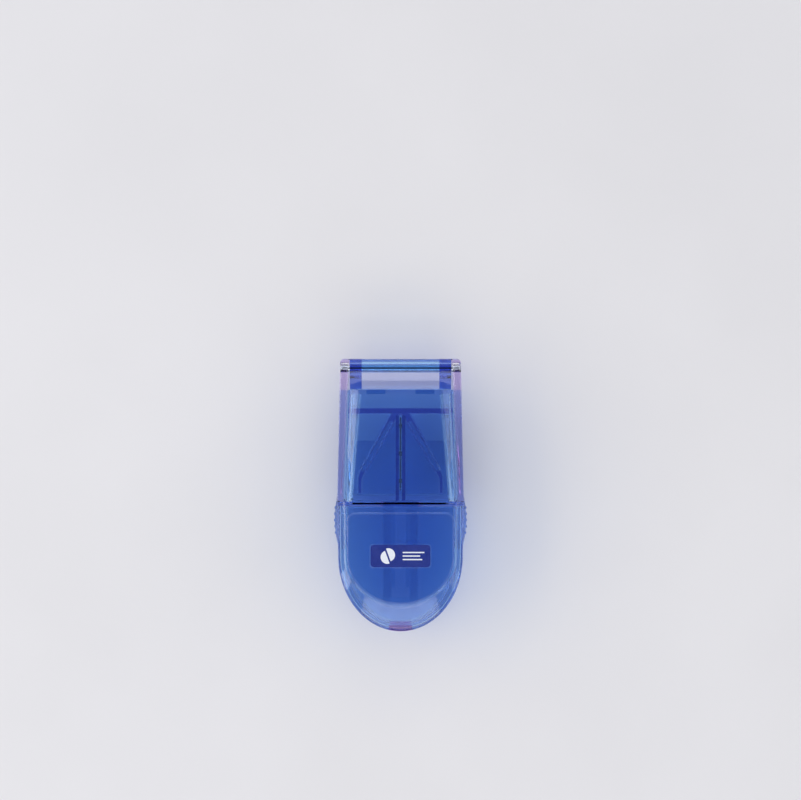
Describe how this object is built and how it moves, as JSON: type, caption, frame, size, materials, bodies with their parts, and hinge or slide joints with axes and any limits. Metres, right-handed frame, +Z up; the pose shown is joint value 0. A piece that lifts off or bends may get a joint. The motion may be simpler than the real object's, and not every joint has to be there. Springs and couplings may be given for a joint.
{
  "type": "pill splitter",
  "caption": "Clear blue pill splitter with a hinged lid carrying a guarded blade, a V-shaped pill holder and a sliding storage drawer in its rounded front.",
  "frame": {"origin": "on the table, under the middle of the body's length and width", "axes": "+Z up, +Y towards the hinge, -Y towards the rounded storage end, +X across the body"},
  "size_m": [0.0382, 0.078, 0.0205],
  "materials": {
    "clear_blue_plastic": "transparent blue moulded plastic, polished",
    "holder_plastic": "transparent blue moulded plastic, slightly frosted",
    "dark_blue_plastic": "dense dark blue moulded plastic",
    "blade_steel": "ground stainless steel with two cutting bevels",
    "steel": "drawn steel wire",
    "label_print": "printed dark blue film with a plain pale mark"
  },
  "bodies": {
    "base": {"base_shell": "clear_blue_plastic", "pill_holder": "holder_plastic", "hinge_pin": "steel"},
    "lid": {"lid_shell": "clear_blue_plastic", "lid_label": "label_print", "blade": "blade_steel", "blade_holder_left": "dark_blue_plastic", "blade_holder_right": "dark_blue_plastic", "blade_pin_front": "steel", "blade_pin_middle": "steel", "blade_pin_rear": "steel"},
    "drawer": {"storage_drawer": "clear_blue_plastic"}
  },
  "joints": [
    {"name": "lid_hinge", "type": "hinge", "parent": "base", "child": "lid", "pos_m": [0, 0.0363, 0.0148], "axis": [-1, 0, 0], "range_deg": [0, 95]},
    {"name": "drawer_slide", "type": "slide", "parent": "base", "child": "drawer", "axis": [0, -1, 0], "range_m": [0, 0.0205]}
  ]
}
